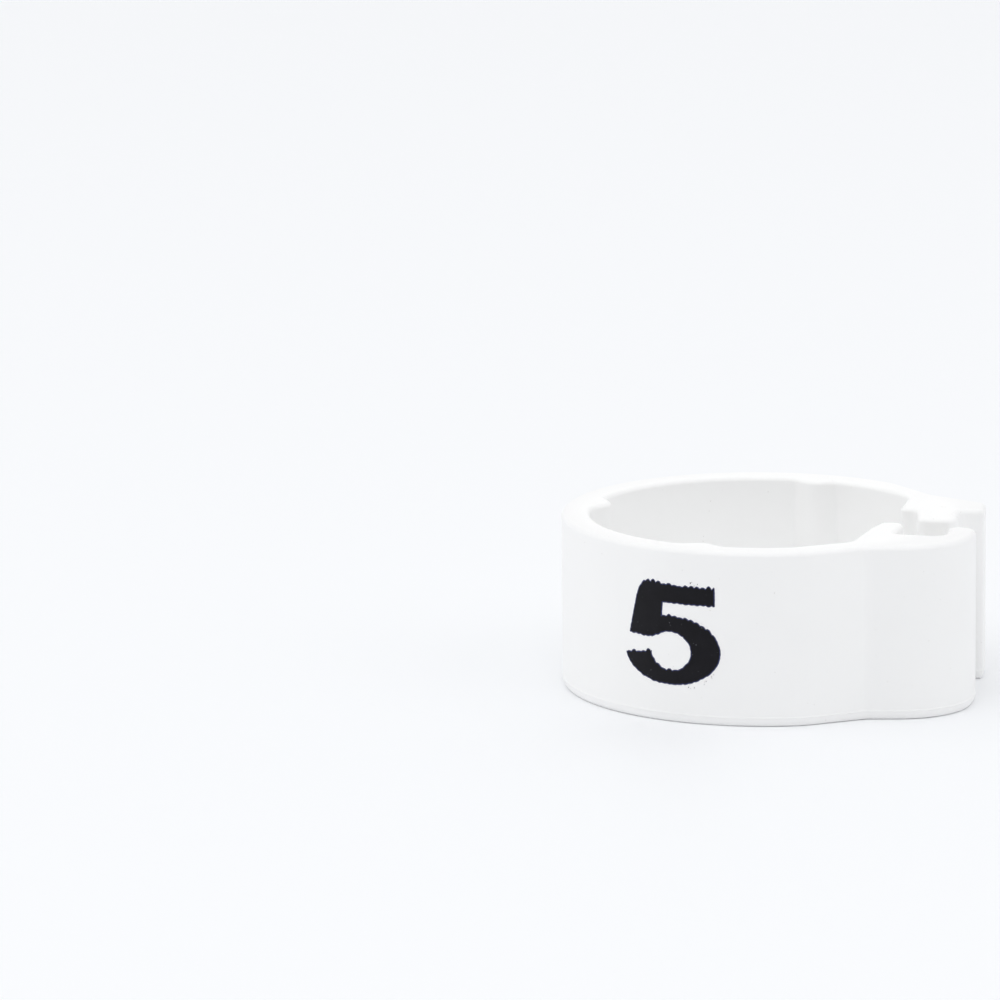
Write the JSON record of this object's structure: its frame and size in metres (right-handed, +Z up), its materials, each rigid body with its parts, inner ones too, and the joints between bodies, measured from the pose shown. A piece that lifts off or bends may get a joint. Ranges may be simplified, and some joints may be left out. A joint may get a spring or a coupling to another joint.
{
  "type": "clip-on leg band",
  "caption": "Split plastic ring for a bird's leg, with a snap clasp, grip ribs inside and a printed number on each half.",
  "frame": {"origin": "under the centre of the band's outline, on the surface that it lies on", "axes": "+Z up along the leg; +X from the back of the ring to the gap; the socket half is at -Y and the plug half at +Y"},
  "size_m": [0.0194, 0.018, 0.0078],
  "materials": {
    "band_plastic": "white polypropylene, semi-gloss as moulded",
    "print_ink": "blue-black pad-printed ink"
  },
  "bodies": {
    "back": {"back_strap": "band_plastic", "back_grip_rib": "band_plastic"},
    "socket_link_1": {"socket_strap_link_1": "band_plastic"},
    "socket_link_2": {"socket_strap_link_2": "band_plastic"},
    "socket_side": {"socket_arm": "band_plastic", "socket_shoulder": "band_plastic", "socket_grip_rib": "band_plastic", "socket_number_print": "print_ink"},
    "finger": {"socket_finger": "band_plastic"},
    "lip": {"socket_lip": "band_plastic", "lip_catch": "band_plastic"},
    "plug_link_1": {"plug_strap_link_1": "band_plastic", "gate_mark": "band_plastic"},
    "plug_link_2": {"plug_strap_link_2": "band_plastic"},
    "plug_side": {"plug_arm": "band_plastic", "plug_shoulder": "band_plastic", "plug_grip_rib": "band_plastic", "plug_ledge": "band_plastic", "plug_tongue": "band_plastic", "tongue_barb": "band_plastic", "plug_toe": "band_plastic", "plug_number_print": "print_ink"}
  },
  "joints": [
    {"name": "socket_flex_1", "type": "hinge", "parent": "back", "child": "socket_link_1", "pos_m": [-0.0088, -0.00183, 0], "axis": [0, 0, -1], "range_deg": [-2, 7.4], "stiffness_Nm_per_rad": 0.004},
    {"name": "socket_flex_2", "type": "hinge", "parent": "socket_link_1", "child": "socket_link_2", "pos_m": [-0.00747, -0.00469, 0], "axis": [0, 0, -1], "range_deg": [-1.9, 6.9]},
    {"name": "socket_flex_3", "type": "hinge", "parent": "socket_link_2", "child": "socket_side", "pos_m": [-0.0052, -0.00687, 0], "axis": [0, 0, -1], "range_deg": [-1.6, 5.9]},
    {"name": "plug_flex_1", "type": "hinge", "parent": "back", "child": "plug_link_1", "pos_m": [-0.0088, 0.00236, 0], "axis": [0, 0, 1], "range_deg": [-1.9, 9.1], "stiffness_Nm_per_rad": 0.004},
    {"name": "plug_flex_2", "type": "hinge", "parent": "plug_link_1", "child": "plug_link_2", "pos_m": [-0.00739, 0.00517, 0], "axis": [0, 0, 1], "range_deg": [-1.8, 8.5]},
    {"name": "plug_flex_3", "type": "hinge", "parent": "plug_link_2", "child": "plug_side", "pos_m": [-0.00499, 0.00722, 0], "axis": [0, 0, 1], "range_deg": [-1.6, 7.3]},
    {"name": "finger_flex", "type": "hinge", "parent": "socket_side", "child": "finger", "pos_m": [0.00549, -0.00274, 0], "axis": [0, 0, 1], "range_deg": [0, 4], "stiffness_Nm_per_rad": 3},
    {"name": "lip_flex", "type": "hinge", "parent": "socket_side", "child": "lip", "pos_m": [0.00906, -0.00255, 0], "axis": [0, 0, -1], "range_deg": [0, 8], "stiffness_Nm_per_rad": 2}
  ],
  "couplings": [
    {"joint": "socket_flex_2", "follows": "socket_flex_1", "ratio": 0.92},
    {"joint": "socket_flex_3", "follows": "socket_flex_1", "ratio": 0.79},
    {"joint": "plug_flex_2", "follows": "plug_flex_1", "ratio": 0.92},
    {"joint": "plug_flex_3", "follows": "plug_flex_1", "ratio": 0.79}
  ]
}
